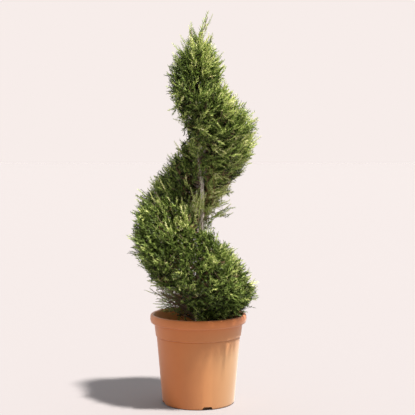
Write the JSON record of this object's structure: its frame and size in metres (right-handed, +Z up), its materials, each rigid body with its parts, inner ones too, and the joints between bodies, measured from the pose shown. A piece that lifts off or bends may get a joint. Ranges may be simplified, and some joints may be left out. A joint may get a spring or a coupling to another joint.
{
  "type": "potted spiral topiary",
  "caption": "Evergreen conifer clipped as a rising spiral of feathery sprays round a bare upright trunk, standing in a round tapered plant pot with a rolled rim.",
  "frame": {"origin": "centre of the pot's flat underside, on the surface that the pot stands on", "axes": "+Z up along the pot's axis and the trunk; -Y towards the viewer of the picture, +X to that viewer's right"},
  "size_m": [0.3344, 0.3093, 1.009],
  "materials": {
    "pot": "satin",
    "compost": "matte",
    "bark": "matte",
    "foliage": "matte"
  },
  "bodies": {
    "root": {"pot": "pot", "compost": "compost", "trunk": "bark", "bough_01": "bark", "bough_02": "bark", "bough_03": "bark", "bough_04": "bark", "bough_05": "bark", "bough_06": "bark", "bough_07": "bark", "bough_08": "bark", "bough_09": "bark", "bough_10": "bark", "bough_11": "bark", "bough_12": "bark", "bough_13": "bark", "bough_14": "bark", "foliage_01": "foliage", "foliage_02": "foliage", "foliage_03": "foliage", "foliage_04": "foliage", "foliage_05": "foliage", "foliage_06": "foliage", "foliage_07": "foliage", "foliage_08": "foliage", "foliage_09": "foliage", "foliage_10": "foliage", "foliage_11": "foliage", "foliage_12": "foliage", "foliage_13": "foliage", "foliage_14": "foliage", "crown_top": "foliage"}
  },
  "joints": []
}
